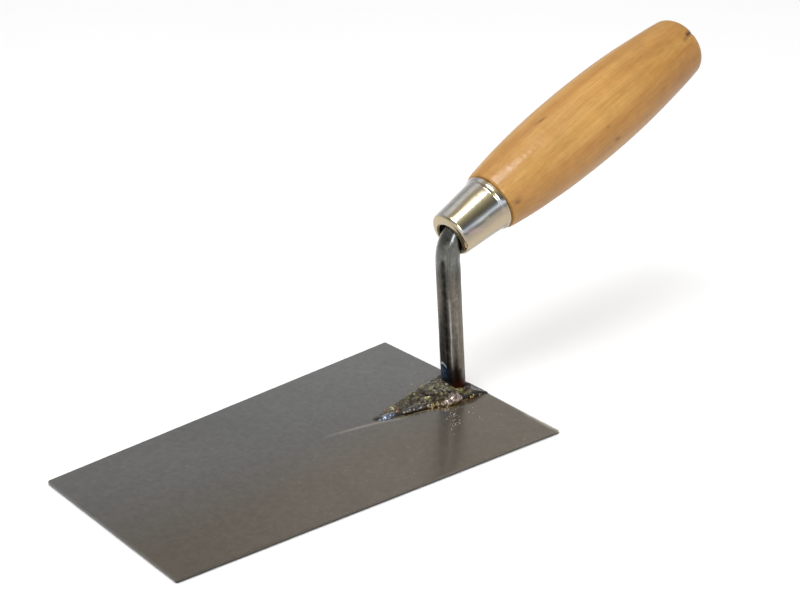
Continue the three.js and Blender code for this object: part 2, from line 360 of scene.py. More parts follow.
def makeBlade(material):
    length = heelX - toeX
    alongShares = shares(length, blade["step"])
    acrossShares = shares(2 * heelHalf, blade["step"], middle=[16 - 0.5 * k for k in range(33)])
    last = len(alongShares) - 1
    lastAcross = len(acrossShares) - 1

    points = []
    layers = {"crease": [], "film": [], "side": [], "worn": []}

    def addPoint(i, j, inset, z, side=0):
        u, v = alongShares[i], acrossShares[j]
        inset += 0.05 * noiseAt(u * 90, v * 50, 0, 9, 1)
        x = (toeX + heelX) / 2 + u * (length / 2 - inset)
        half = halfWidth(x) - inset
        y = v * half
        radius = blade["cornerRadius"]
        a = radius - (1 - abs(u)) * (length / 2 - inset)
        b = radius - (1 - abs(v)) * half
        if a > 0 and b > 0:
            pull = 1 - max(a, b) / math.hypot(a, b)
            x -= math.copysign(a * pull, u)
            y -= math.copysign(b * pull, v)
        wave = blade["wave"] * (noiseAt(x, y, 0, 26, 2) + 0.5 * noiseAt(x, y, 0, 9, 3))
        keep = smoothStep(0, 6, length / 2 * (1 - abs(u))) * smoothStep(0, 6, half * (1 - abs(v)))
        onTop = z > bladeTop / 2
        crease = creaseAt(x, y) if onTop else 0
        worn = wornAt(x, y) if onTop else 0
        lift = bladeLift(x, y) + wave * keep + blade["crease"] * crease - worn
        points.append((x, y, z + lift))
        film = filmAt(x, y) if onTop else 0
        record(layers, crease=crease, film=film, side=side, worn=smoothStep(0.02, 0.22, worn))
        return len(points) - 1

    grid = {}
    for level, z in (("top", bladeTop), ("bottom", 0)):
        for i in range(last + 1):
            for j in range(lastAcross + 1):
                onEdge = i in (0, last) or j in (0, lastAcross)
                grid[level, i, j] = addPoint(i, j, blade["edge"] if onEdge else 0, z)
    faces = []
    for i in range(last):
        for j in range(lastAcross):
            for level in ("top", "bottom"):
                corners = [(i, j), (i + 1, j), (i + 1, j + 1), (i, j + 1)]
                faces.append(tuple(grid[(level, *c)] for c in corners))
    border = borderOf(last, lastAcross)
    # down the side: how far in, height and how dark, the darkness being painted shade that grows towards the
    # bottom
    edge = blade["edge"]
    steps = [(0.45 * edge, bladeTop - 0.2 * edge, 0.1), (0.1 * edge, bladeTop - 0.6 * edge, 0.35)]
    steps += [(0, bladeTop - edge, 0.55), (0, edge, 0.95), (0.3 * edge, 0.4 * edge, 1)]
    rings = [[grid["top", i, j] for i, j in border]]
    rings += [[addPoint(i, j, *step) for i, j in border] for step in steps]
    rings.append([grid["bottom", i, j] for i, j in border])
    for upper, lower in zip(rings, rings[1:]):
        for k in range(len(border)):
            n = (k + 1) % len(border)
            faces.append((upper[k], upper[n], lower[n], lower[k]))
    return makePiece("blade_sheet", points, faces, material, ["blade"], floats=layers)


def steelMaterial():
    material, tree, shader = startMaterial("groundSteel", {
        "Metallic": 0.82,
        "Coat Weight": 0.3,
        "Coat Roughness": 0.12,
        "Coat IOR": 1.5,
    })
    cloud = noiseTexture(tree, 9, 4, 0.55)
    grit = noiseTexture(tree, 420, 5, 0.7)
    brush = noiseTexture(tree, (35, 900, 60), 3, 0.6, turn=(0, 0, 4))
    spots = noiseTexture(tree, 330, 3, 0.6)
    separate = addNode(tree, "SeparateXYZ", links={"Vector": place(tree)})
    # warmer towards the near side, partly heat tint and partly a painted reflection of the crowned near half;
    # darker towards the toe, painted shade
    across = plus(tree, times(tree, separate.outputs["Y"], -14.0), 0.42)
    wander = plus(tree, across, times(tree, cloud, 0.5))
    tint = ramp(tree, wander, [(0.35, blade["cool"]), (0.62, blade["steel"]), (1.0, blade["warm"])])
    patch = ramp(tree, cloud, [(0.3, 0.88), (0.7, 1.06)])
    base = shaded(tree, tint, patch)
    along = plus(tree, times(tree, separate.outputs["X"], 5.5), 0.5)
    toe = ramp(tree, along, [(0.0, blade["toeShade"]), (0.45, blade["midShade"]), (0.9, (1, 1, 1))])
    base = shaded(tree, base, toe)
    speck = ramp(tree, grit, [(0.3, 0.88), (0.55, 1.0), (0.75, 1.1)])
    base = shaded(tree, base, speck)
    patches = ramp(tree, spots, [(0.3, 0.45), (0.6, 1.0)])
    stained = times(tree, attribute(tree, "film"), patches)
    base = blend(tree, stained, base, blade["stain"])
    # the pale line along the crease is a painted highlight
    base = blend(tree, times(tree, attribute(tree, "crease"), 0.75), base, blade["pale"])
    # the side wall darkens towards the bottom as painted shade
    base = blend(tree, attribute(tree, "side"), base, blade["paintedEdgeShade"])
    # the worn slope on the heel is bare metal, lightened further as a painted highlight
    base = blend(tree, attribute(tree, "worn"), base, blade["bare"])
    rough = plus(tree, times(tree, grit, 0.14), 0.13)
    rough = plus(tree, rough, times(tree, cloud, 0.08))
    normal = bump(tree, grit, 0.012)
    normal = bump(tree, brush, 0.006, 1.0, normal)
    finish(tree, shader, {"Base Color": base, "Roughness": rough, "Normal": normal})
    return material


makeBlade(steelMaterial())


grip = {"angle": 22, "x": 79.8, "z": 74.15}    # the centre of the ferrule's small shoulder
gripTurn = math.radians(grip["angle"])
gripAxis = Vector((math.cos(gripTurn), 0, math.sin(gripTurn)))
gripRise = Vector((-math.sin(gripTurn), 0, math.cos(gripTurn)))
gripStart = Vector((grip["x"], 0, grip["z"]))


def onGrip(radius, angle, station, fallen=0):
    # Angle 0 faces -Y and 90 faces up.
    turn = math.radians(angle)
    out = Vector((0, -math.cos(turn), 0)) + gripRise * math.sin(turn)
    return gripStart + gripAxis * station + out * radius - gripRise * fallen


shank = {
    "radius": 5.2,
    "fromHeel": 8.3,
    "lean": 3.9,
    "bend": 14,
    "tang": 78,
    "tangTaper": 16,
    "tangPoint": 0.35,
    "sides": 144,
    "step": 0.6,
    "startZ": 3.0,         # the bar's lower end, under the foot's top
    "glossFrom": 57,       # height where the bend's polish starts
    "scale": (0.165, 0.146, 0.121),
    "bent": (0.105, 0.104, 0.092),
    "inkAndDarkReflection": (0.014, 0.017, 0.021),
    "bare": (0.60, 0.60, 0.62),
    "rust": (0.040, 0.026, 0.017),
    "soot": (0.015, 0.009, 0.006),
    "ember": (0.085, 0.014, 0.008),
    "blue": (0.09, 0.25, 0.50),
    "night": (0.006, 0.016, 0.036),
    "paintedDripHighlight": (0.80, 0.88, 0.95),
    # streaks along the bar: tint, angle (0 faces +Y, 90 faces +X), half width, low and high end, share; the
    # pale line at 222 is a painted highlight and the dark band at 242 a painted reflection of the blade
    "streaks": [
        ("inkAndDarkReflection", 242, 10, 2, 66, 0.9), ("inkAndDarkReflection", 263, 4, 12, 36, 0.55), ("inkAndDarkReflection", 280, 5, 8, 50, 0.35),
        ("rust", 201, 9, 2, 28, 0.75), ("rust", 170, 5, 16, 44, 0.3), ("inkAndDarkReflection", 211, 2.5, 20, 42, 0.2),
        ("bare", 222, 2.7, 12, 50, 0.95), ("bare", 216, 6, 14, 50, 0.13),
        ("bare", 250, 2, 14, 30, 0.2), ("bare", 186, 2, 20, 52, 0.16), ("inkAndDarkReflection", 62, 12, 4, 62, 0.7),
        ("rust", 105, 14, 3, 40, 0.6), ("bare", 84, 2.4, 16, 52, 0.5), ("inkAndDarkReflection", 20, 7, 6, 50, 0.5),
        ("bare", 340, 2.4, 14, 44, 0.4), ("rust", 320, 10, 4, 36, 0.5),
    ],
    "run": (274, 15.9, 2.0),    # angle and height of the top of the raised run, whose pale colour is a painted highlight, and how far it falls each side
    "runSpread": 25,
    "runWidth": 0.34,
}


def shankLine():
    # Points and headings along the bar: up from the foot, round the bend and along the grip.
    lean = math.radians(shank["lean"])
    rise = Vector((-math.sin(lean), 0, math.cos(lean)))
    base = Vector((heelX - shank["fromHeel"], 0, bladeTop))
    cross = rise.x * gripAxis.z - rise.z * gripAxis.x
    gap = gripStart - base
    corner = base + rise * ((gap.x * gripAxis.z - gap.z * gripAxis.x) / cross)
    turn = rise.angle(gripAxis)
    tangent = shank["bend"] * math.tan(turn / 2)
    bendStart = corner - rise * tangent
    inward = (gripAxis - rise * gripAxis.dot(rise)).normalized()
    centre = bendStart + inward * shank["bend"]
    line = []
    start = base + rise * ((shank["startZ"] - bladeTop) / rise.z)
    count = round((bendStart - start).length / shank["step"])
    for i in range(count):
        line.append((start.lerp(bendStart, i / count), rise.copy()))
    count = round(shank["bend"] * turn / shank["step"])
    for i in range(count):
        rotate = Matrix.Rotation(turn * i / count, 3, "Y")
        line.append((centre + rotate @ (bendStart - centre), rotate @ rise))
    bendEnd = corner + gripAxis * tangent
    end = gripStart + gripAxis * shank["tang"]
    count = round((end - bendEnd).length / (2 * shank["step"]))
    for i in range(count + 1):
        line.append((bendEnd.lerp(end, i / count), gripAxis.copy()))
    return line


def aside(angle, middle):
    return (angle - middle + 180) % 360 - 180


def barTint(angle, spot):
    # Brown-grey mill scale with streaks along it, scorched dark towards the weld; some streaks, and the toe
    # side's darkening low down, are painted highlight and painted reflection.
    z = spot.z
    colour = mixColour(shank["scale"], shank["bent"], smoothStep(46, 62, z))
    toeSide = math.exp(-(aside(angle, 285) / 42) ** 2)
    # the toe side darker low down is a painted reflection of the blade
    colour = mixColour(colour, shank["inkAndDarkReflection"], 0.62 * toeSide * (1 - smoothStep(22, 50, z)))
    for tint, middle, width, low, high, share in shank["streaks"]:
        drift = 2.5 * noiseAt(middle, 0, z, 11, 21)
        edge = share * math.exp(-(aside(angle, middle + drift) / width) ** 2)
        edge *= smoothStep(low, low + 7, z) * (1 - smoothStep(high - 12, high, z))
        colour = mixColour(colour, shank[tint], edge * (0.85 + 0.5 * noiseAt(middle, 0, z, 2.4, 22)))
    ragged = 3 * noiseAt(spot.x, spot.y, z * 0.5, 1.6, 6)
    reach = mix(17.5, 12.5, smoothStep(195, 165, angle))
    colour = mixColour(colour, shank["soot"], 0.93 * (1 - smoothStep(reach - 7, reach + 1.5, z + ragged)))
    glow = (1 - smoothStep(6, 10, z + ragged)) * math.exp(-(aside(angle, 190) / 38) ** 2)
    colour = mixColour(colour, shank["ember"], 0.75 * glow)
    side = math.exp(-(aside(angle, 268) / 30) ** 4)
    colour = mixColour(colour, shank["night"], side * (1 - smoothStep(14.5, 16, z)))
    lit = math.exp(-(aside(angle, 268) / 19) ** 2 - ((z - 12.2) / 2.4) ** 2)
    blue = lit * (0.7 + 1.4 * noiseAt(spot.x, spot.y, z, 1.1, 23))
    return mixColour(colour, shank["blue"], min(1, max(0, blue)))


def runAt(angle, z):
    # Share of the raised run at a spot, painted pale as a highlight: a thin arch across the front of the bar.
    middle, top, fall = shank["run"]
    turn = aside(angle, middle)
    height = top - fall * (turn / shank["runSpread"]) ** 2
    ends = 1 - smoothStep(shank["runSpread"] - 6, shank["runSpread"] + 3, abs(turn))
    return ends * math.exp(-((z - height) / shank["runWidth"]) ** 2)


def makeShank(material):
    line = shankLine()
    rings, tints = [], []
    layers = {"run": [0], "gloss": [0]}
    for centre, heading in line:
        across = Vector((0, 1, 0))
        inward = across.cross(heading)    # towards the inside of the bend
        station = (centre - gripStart).dot(gripAxis)
        taper = smoothStep(shank["tang"] - shank["tangTaper"], shank["tang"], station)
        ring = []
        for k in range(shank["sides"]):
            angle = 360 * k / shank["sides"]
            turn = math.radians(angle)
            out = across * math.cos(turn) + inward * math.sin(turn)
            spot = centre + out * shank["radius"]
            dents = 0.06 * noiseAt(spot.x, spot.y, spot.z, 5, 4)
            dents += 0.03 * noiseAt(spot.x, spot.y, spot.z * 0.3, 1.2, 5)
            run = runAt(angle, spot.z)
            reach = shank["radius"] * mix(1, shank["tangPoint"], taper) + dents + 0.2 * run
            ring.append(centre + out * reach)
            tints.append(barTint(angle, spot))
            wet = math.exp(-(aside(angle, 262) / 34) ** 4) * (1 - smoothStep(15, 18, spot.z))
            gloss = max(smoothStep(shank["glossFrom"], shank["glossFrom"] + 7, spot.z), 0.8 * wet)
            record(layers, run=run, gloss=gloss)
        rings.append(ring)
    record(layers, run=0, gloss=0)
    points, faces = loft([[line[0][0]], *rings, [line[-1][0]]])
    colours = {"tint": [shank["soot"], *tints, shank["bent"]]}
    return makePiece("shank_bar", points, faces, material, ["shank"], colours, layers)


def shankMaterial():
    material, tree, shader = startMaterial("darkBar", {
        "Coat Roughness": 0.15,
        "Coat IOR": 1.5,
    })
    grit = noiseTexture(tree, (900, 900, 600), 4, 0.7)
    streak = noiseTexture(tree, (1300, 1300, 40), 4, 0.65)
    speck = ramp(tree, grit, [(0.3, 0.7), (0.52, 1.0), (0.74, 1.5)])
    lines = ramp(tree, streak, [(0.34, 0.72), (0.5, 1.0), (0.66, 1.3)])
    run = attribute(tree, "run")
    gloss = attribute(tree, "gloss")
    base = shaded(tree, attribute(tree, "tint", "Color"), speck)
    base = shaded(tree, base, lines)
    # the raised run is painted pale blue-white as a highlight
    base = blend(tree, run, base, shank["paintedDripHighlight"])
    matt = calculate(tree, "SUBTRACT", 0.36, times(tree, gloss, 0.15))
    rough = plus(tree, times(tree, grit, 0.12), matt)
    normal = bump(tree, streak, 0.006)
    normal = bump(tree, grit, 0.008, 1.0, normal)
    finish(tree, shader, {
        "Base Color": base,
        "Roughness": rough,
        "Metallic": calculate(tree, "SUBTRACT", 1.0, run, True),
        "Coat Weight": times(tree, gloss, 0.9),
        "Normal": normal,
    })
    return material


makeShank(shankMaterial())


ferrule = {
    "sides": 144,
    "smallRadius": 10.2,
    "largeRadius": 11.9,
    "coneLength": 19.4,
    "wall": 0.8,
    "fillet": 2,
    "hole": 6.6,
    "holeDrop": 1.4,
    "clear": 0.25,
    # tints of the plating round the cup, by angle: 0 faces -Y and 90 faces up; they are partly the plating's
    # yellow passivation and mostly painted reflections, with a painted highlight in the white-gold band near
    # 60
    "tints": [
        (-60, (0.50, 0.44, 0.34)), (-36, (0.37, 0.33, 0.26)), (-24, (0.45, 0.375, 0.25)),
        (-8, (0.44, 0.36, 0.25)), (3, (0.37, 0.31, 0.235)), (13, (0.34, 0.29, 0.23)),
        (18, (0.20, 0.185, 0.175)), (21, (0.26, 0.26, 0.26)), (25, (0.52, 0.56, 0.62)),
        (30, (0.55, 0.58, 0.60)), (38, (0.70, 0.60, 0.38)), (47, (0.84, 0.70, 0.40)),
        (55, (0.92, 0.86, 0.66)), (64, (0.94, 0.88, 0.70)), (69, (0.84, 0.72, 0.44)),
        (74, (0.40, 0.33, 0.21)), (80, (0.46, 0.39, 0.29)), (86, (0.76, 0.72, 0.65)),
        (100, (0.84, 0.82, 0.80)), (130, (0.80, 0.77, 0.74)), (170, (0.60, 0.55, 0.47)),
        (215, (0.48, 0.42, 0.33)), (250, (0.60, 0.57, 0.53)), (300, (0.50, 0.44, 0.34)),
    ],
    "face": (0.45, 0.37, 0.24),
    "green": (0.46, 0.50, 0.30),
    "rose": (0.50, 0.35, 0.38),
}
coneSlope = (ferrule["largeRadius"] - ferrule["smallRadius"]) / ferrule["coneLength"]


def plateTintAndReflection(angle, spot, onFace):
    # plating colour by angle, partly painted reflections and highlight
    angle += 5 * noiseAt(spot.x, spot.y, spot.z, 8, 19)
    angle = (angle + 60) % 360 - 60
    tints = ferrule["tints"]
    colour = tints[-1][1]
    for (a, first), (b, second) in zip(tints, tints[1:]):
        if a <= angle < b:
            colour = mixColour(first, second, smoothStep(a, b, angle))
            break
    return mixColour(colour, ferrule["face"], onFace)


def makeFerrule(material):
    wall, fillet = ferrule["wall"], ferrule["fillet"]
    shoulder = ferrule["smallRadius"] - fillet
    hole, fallen = ferrule["hole"], ferrule["holeDrop"]
    # each row is radius, station and how far the ring's centre lies below the axis: the hole's edge, the
    # rounded shoulder, the cone, the flared lip and back along the inside
    rows = [(hole - 0.25, 1.2, fallen), (hole - 0.25, 0.2, fallen), (hole - 0.22, -1.0, fallen)]
    rows += [(hole + 0.02, -1.6, fallen), (hole + 0.35, -1.92, fallen), (hole + 0.7, -2.0, fallen * 0.75)]
    rows += [(mix(hole + 0.7, shoulder, t), -fillet, fallen * 0.75 * (1 - t)) for t in (0.35, 0.7)]
    rows += [(r, s, 0) for r, s in arc(shoulder, 0, fillet, -90, 0, 9)]
    rows += [(ferrule["smallRadius"] + coneSlope * s, s, 0) for s in (1, 3, 6, 9, 12, 15, 17.5, 18.8)]
    rows += [(r, s, 0) for r, s in smoothLine(
        [(11.86, 19.2), (12.0, 19.7), (12.42, 20.25), (12.66, 20.9), (12.7, 21.8), (12.66, 22.4)], 0.3)]
    rows += [(12.5, 22.7, 0), (12.25, 22.8, 0), (12.02, 22.7, 0), (11.92, 22.4, 0), (11.9, 21, 0)]
    rows += [(ferrule["largeRadius"] - wall, 19.2, 0), (ferrule["smallRadius"] - wall + 0.6, 9, 0)]
    rows += [(r, s, 0) for r, s in arc(shoulder, 0, fillet - wall, 0, -90, 5)]
    rows += [(mix(shoulder, hole + 0.5, 0.6), wall - fillet, fallen * 0.6)]
    rows += [(hole + 0.5, wall - fillet, fallen), (hole + 0.3, 0.2, fallen), (hole + 0.25, 1.2, fallen)]
    line = [centre for centre, heading in shankLine()]
    rings, tints = [], []
    for radius, station, drop in rows:
        ring = []
        for k in range(ferrule["sides"]):
            angle = 360 * k / ferrule["sides"]
            spot = onGrip(radius, angle, station, drop)
            tints.append(plateTintAndReflection(angle, spot, 1 - smoothStep(-1.6, -0.9, station)))
            wobble = 0.05 * noiseAt(spot.x, spot.y, spot.z, 11, 8)
            if station > 19:
                wobble += 0.05 * noiseAt(spot.x, spot.y, spot.z, 4, 9)
            spot = onGrip(radius + wobble, angle, station, drop)
            if station < 6 and radius < 12:
                nearest = min(line, key=lambda c: (c - spot).length_squared)
                away = spot - nearest
                short = shank["radius"] + ferrule["clear"] - away.length
                if short > 0:
                    spot += away.normalized() * short
            ring.append(spot)
        rings.append(ring)
    points, faces = loft(rings, closeRound=True)
    return makePiece("ferrule_cup", points, faces, material, ["ferrule"], {"tint": tints})


def ferruleMaterial():
    material, tree, shader = startMaterial("brightPlate", {
        "Metallic": 1.0,
        "Coat Weight": 0.15,
        "Coat Roughness": 0.06,
    })
    turn = (0, grip["angle"], 0)
    cloud = noiseTexture(tree, (40, 110, 110), 3, 0.5, 0.6, turn=turn)
    film = noiseTexture(tree, 70, 2, 0.5, 1.2, turn=turn)
    grit = noiseTexture(tree, (160, 1500, 1500), 4, 0.65, turn=turn)
    patchy = ramp(tree, cloud, [(0.3, 0.9), (0.6, 1.06)])
    base = shaded(tree, attribute(tree, "tint", "Color"), patchy)
    base = blend(tree, ramp(tree, film, [(0.56, 0.0), (0.63, 0.3), (0.7, 0.0)]), base, ferrule["green"])
    base = blend(tree, ramp(tree, film, [(0.3, 0.35), (0.38, 0.0)]), base, ferrule["rose"])
    rough = plus(tree, times(tree, grit, 0.12), 0.12)
    normal = bump(tree, grit, 0.004)
    normal = bump(tree, cloud, 0.05, 0.6, normal)
    finish(tree, shader, {"Base Color": base, "Roughness": rough, "Normal": normal})
    return material


makeFerrule(ferruleMaterial())


handle = {
    "sides": 216,
    "step": 0.8,
    "shoulderStation": 23.1,
    "barrel": [    # radius, station
        (13.6, 23.7), (14.4, 28), (15.9, 39.4), (17.4, 57.4), (18.1, 75.4), (18.15, 91),
        (17.8, 104), (17, 117), (15.9, 129.5), (14.9, 139), (14.3, 143.4),
    ],
    "end": 150.5,
    "dome": 1.2,
    "buttRound": 6,
    "boreRadius": 5.8,
    "boreDepth": 82,
    "mouthRadius": 7.4,
    "mouthDepth": 8,
    "flecks": [    # station, angle, half length, half width, darkness
        (60.0, 85.5, 2.4, 0.55, 0.75), (57.2, 87.5, 1.3, 0.4, 0.4), (83.6, -11, 1.7, 0.55, 0.95),
        (26.4, 8.5, 1.6, 1.0, 0.7), (80.6, 15, 0.6, 0.45, 0.6), (97, 40, 2.2, 0.3, 0.25),
        (70, 200, 2.2, 0.5, 0.7), (112, 150, 1.6, 0.4, 0.6), (48, 250, 1.2, 0.5, 0.6),
    ],
    "crack": [(144.2, 45), (146.0, 46), (147.6, 43), (148.8, 38)],
    "smudge": [(140.5, 41), (142.6, 42.5), (144.2, 45)],
    "light": (0.54, 0.299, 0.084),
    "honey": (0.475, 0.240, 0.057),
    "brown": (0.37, 0.160, 0.034),
    "aged": (0.57, 0.51, 0.44),    # what the wood is multiplied by where it is darkest: painted shade on the underside, partly age towards the butt
    "scar": (0.09, 0.035, 0.012),
}


def fleckAt(station, angle, radius):
    # How dark the wood is from knots at a spot, and how deep they are sunk.
    dark, dent = 0, 0
    for fleckStation, fleckAngle, halfLength, halfWide, darkness in handle["flecks"]:
        around = math.radians(aside(angle, fleckAngle)) * radius
        along = station - fleckStation
        skewed = around + 0.15 * along
        fall = math.exp(-(along / halfLength) ** 2 - (skewed / halfWide) ** 2)
        dark = max(dark, darkness * fall)
        dent = max(dent, 0.2 * fall * darkness)
    return dark, dent


def crackAt(spot, knots):
    # How deep a nick along the knots is at a spot, and how high the rim beside it.
    nearest = 9.0
    for a, b in zip(knots, knots[1:]):
        share = min(1, max(0, (spot - a).dot(b - a) / (b - a).length_squared))
        nearest = min(nearest, (spot - a.lerp(b, share)).length)
    ridge = math.exp(-((nearest - 1.1) / 0.45) ** 2)
    return math.exp(-(nearest / 0.95) ** 2), ridge


def radiusAt(station):
    barrel = handle["barrel"]
    for (r0, s0), (r1, s1) in zip(barrel, barrel[1:]):
        if station <= s1:
            return mix(r0, r1, (station - s0) / (s1 - s0))
    return barrel[-1][0]


def makeHandle(material):
    spigot = ferrule["smallRadius"] - ferrule["wall"] - 0.3
    shoulder = handle["shoulderStation"]
    outline = [(0, handle["boreDepth"]), (handle["boreRadius"] * 0.6, handle["boreDepth"] - 2)]
    outline += [(handle["boreRadius"], handle["boreDepth"] - 6), (handle["boreRadius"], 40)]
    outline += [(handle["boreRadius"], handle["mouthDepth"]), (handle["mouthRadius"], 1.7)]
    outline += [(handle["mouthRadius"] + 0.2, 1.5), (spigot - 0.2, 1.5), (spigot, 1.8)]
    spigotEnd = spigot + coneSlope * ferrule["coneLength"]
    outline += [(spigot + coneSlope * 18, 18), (spigotEnd, 20), (spigotEnd, shoulder)]
    outline += [(12.9, shoulder), (13.25, shoulder + 0.1), (13.48, shoulder + 0.3)]
    outline += smoothLine(handle["barrel"], handle["step"])
    buttCentre = handle["end"] - handle["dome"] - handle["buttRound"]
    butt = arc(handle["barrel"][-1][0] - handle["buttRound"], buttCentre, handle["buttRound"], 5, 78, 12)
    outline += butt
    rimRadius, rimStation = butt[-1]
    for t in (0.86, 0.7, 0.52, 0.34, 0.17):
        outline.append((rimRadius * t, handle["end"] - (handle["end"] - rimStation) * t * t))
    outline.append((0, handle["end"]))

    def onButtSkin(station, angle):
        over = max(0, handle["buttRound"] ** 2 - max(0, station - buttCentre) ** 2)
        inner = radiusAt(min(station, handle["barrel"][-1][1])) - handle["buttRound"]
        return onGrip(inner + math.sqrt(over), angle, station)

    crackKnots = [onButtSkin(*knot) for knot in handle["crack"]]
    smudgeKnots = [onButtSkin(*knot) for knot in handle["smudge"]]
    rings = []
    layers = {"fleck": [], "scar": [], "rim": [], "age": [], "polish": []}
    for radius, station in outline:
        if radius == 0:
            rings.append([gripStart + gripAxis * station])
            record(layers, fleck=0, scar=0, rim=0, age=0.6, polish=0)
            continue
        ring = []
        outside = radius > 12.8
        onButt = station > 139 and radius < 15.4
        for k in range(handle["sides"]):
            angle = 360 * k / handle["sides"]
            spot = onGrip(radius, angle, station)
            dark, dent, scar, ridge = 0, 0, 0, 0
            if outside and station > 23.5:
                dark, dent = fleckAt(station, angle, radius)
                dent += 0.07 * noiseAt(spot.x, spot.y, spot.z, 14, 10)
                dent += 0.02 * math.sin(station * 2.1 + noiseAt(spot.x, spot.y, spot.z, 8, 11) * 3)
            if onButt:
                scar, ridge = crackAt(spot, crackKnots)
                dark = max(dark, 0.45 * crackAt(spot, smudgeKnots)[0])
            reach = radius - dent - 0.6 * scar + 0.05 * ridge
            ring.append(onGrip(reach, angle, station))
            # the underside is darkened as painted shade and the butt partly by age and partly as painted
            # shade, and the top by the ferrule is rubbed bright
            facing = abs(aside(angle, 75))
            age = 0.72 * smoothStep(50, 130, facing) + 0.34 * smoothStep(85, 145, station)
            age += 0.3 * smoothStep(85, 125, facing) * smoothStep(70, 120, station)
            polish = math.exp(-(aside(angle, 62) / 45) ** 2) * (1 - smoothStep(55, 95, station))
            record(layers, fleck=dark, scar=scar, rim=ridge, age=min(1, age), polish=polish)
        rings.append(ring)
    points, faces = loft(rings)
    return makePiece("handle_turned", points, faces, material, ["handle"], floats=layers)


def woodMaterial():
    material, tree, shader = startMaterial("lacqueredWood", {
        "Coat Roughness": 0.19,
        "Coat IOR": 1.45,
        "Specular IOR Level": 0.25,
    })
    turn = (0, grip["angle"], 0)
    # growth layers as long soft bands along the grain
    layers = noiseTexture(tree, (5, 120, 90), 3, 0.5, 0.5, turn=turn)
    fibres = noiseTexture(tree, (60, 1100, 1100), 4, 0.6, turn=turn)
    pores = noiseTexture(tree, (220, 2400, 2400), 2, 0.6, turn=turn)
    figure = noiseTexture(tree, (150, 75, 75), 4, 0.6, 0.8, turn=turn)
    cloud = noiseTexture(tree, (30, 45, 45), 3, 0.5, turn=turn)
    base = ramp(tree, layers, [
        (0.22, handle["brown"]),
        (0.44, handle["honey"]),
        (0.64, handle["light"]),
        (0.85, handle["honey"]),
    ])
    # darker on the underside as painted shade, and towards the butt partly with age
    base = blend(tree, attribute(tree, "age"), base, shaded(tree, base, handle["aged"]))
    grain = ramp(tree, fibres, [(0.3, 0.8), (0.5, 1.0), (0.7, 1.12)])
    base = shaded(tree, base, grain, 0.8)
    curl = ramp(tree, figure, [(0.35, 0.93), (0.65, 1.06)])
    base = shaded(tree, base, curl, 0.8)
    base = blend(tree, ramp(tree, cloud, [(0.5, 0.0), (0.75, 0.4)]), base, handle["honey"])
    base = blend(tree, ramp(tree, pores, [(0.6, 0.0), (0.7, 0.5)]), base, handle["brown"])
    base = blend(tree, attribute(tree, "fleck"), base, handle["scar"])
    base = blend(tree, times(tree, attribute(tree, "rim"), 0.5), base, handle["brown"])
    base = blend(tree, attribute(tree, "scar"), base, handle["scar"])
    rough = plus(tree, times(tree, fibres, 0.25), 0.3)
    normal = bump(tree, fibres, 0.03)
    normal = bump(tree, figure, 0.13, 0.9, normal)
    worn = ramp(tree, figure, [(0.38, 0.1), (0.6, 0.95)])
    coat = plus(tree, times(tree, attribute(tree, "polish"), worn), 0.2)
    finish(tree, shader, {"Base Color": base, "Roughness": rough, "Coat Weight": coat, "Normal": normal})
    return material


makeHandle(woodMaterial())


foot = {
    "length": 53,
    "heelHalf": 13,
    "tipHalf": 0.8,
    "thick": 2.4,
    "heelThick": 0.8,
    "tipThick": 1.0,
    "flatFrom": 5,     # distances from the heel between which the top is level
    "flatTo": 20,
    "heelGap": 0.3,
    "along": 230,
    "across": 110,
    "gullies": [    # two lines of pits in the crust: knots, half width
        ([(64.5, 1.6), (68.1, -0.8), (71.7, -4.4), (75.5, -7.2)], 0.95),
        ([(57, -1.6), (61, -3.4), (66, -5.6), (70, -7.0)], 0.7),
    ],
    "plain": (0.020, 0.022, 0.026),
    "deep": (0.030, 0.009, 0.005),
    "rust": (0.10, 0.04, 0.014),
    "crust": [    # height of the crust and its tint: lighter on the tops as painted highlights and darker low down as painted shade, over the lacquer's olive
        (0.14, (0.012, 0.006, 0.003)), (0.36, (0.030, 0.020, 0.008)), (0.55, (0.066, 0.054, 0.017)),
        (0.72, (0.135, 0.122, 0.036)), (0.86, (0.30, 0.28, 0.12)), (0.97, (0.62, 0.58, 0.42)),
    ],
}


def footHalf(fromHeel):
    return mix(foot["heelHalf"], foot["tipHalf"], fromHeel / foot["length"])


def crust(x, y):
    # Height of the scale and lacquer on the foot: round grains of two sizes, with pits between them.
    x += 0.5 * noiseAt(x, y, 0, 2.1, 25)
    y += 0.5 * noiseAt(x, y, 5, 2.1, 26)
    grains = noise.voronoi(Vector((x / 1.7, y / 1.4, 0.3)))[0]
    coarse = noise.voronoi(Vector((x / 4.1, y / 3.0, 4.1)))[0]
    body = 0.55 - 0.95 * grains[0] + 1.1 * (0.6 - coarse[0])
    return body + 0.6 * noiseAt(x, y, 0, 3.4, 12) + 0.3 * noiseAt(x, y, 0, 0.9, 13)


def gullyAt(x, y):
    # How deep the lines of pits are at a spot, from 0 to 1.
    depth = 0
    for knots, wide in foot["gullies"]:
        for (x0, y0), (x1, y1) in zip(knots, knots[1:]):
            share = ((x - x0) * (x1 - x0) + (y - y0) * (y1 - y0)) / ((x1 - x0) ** 2 + (y1 - y0) ** 2)
            share = min(1, max(0, share))
            away = math.hypot(x - mix(x0, x1, share), y - mix(y0, y1, share))
            depth = max(depth, math.exp(-(away / (wide * (1 + 0.6 * noiseAt(x, y, 0, 1.8, 27)))) ** 2))
    return depth


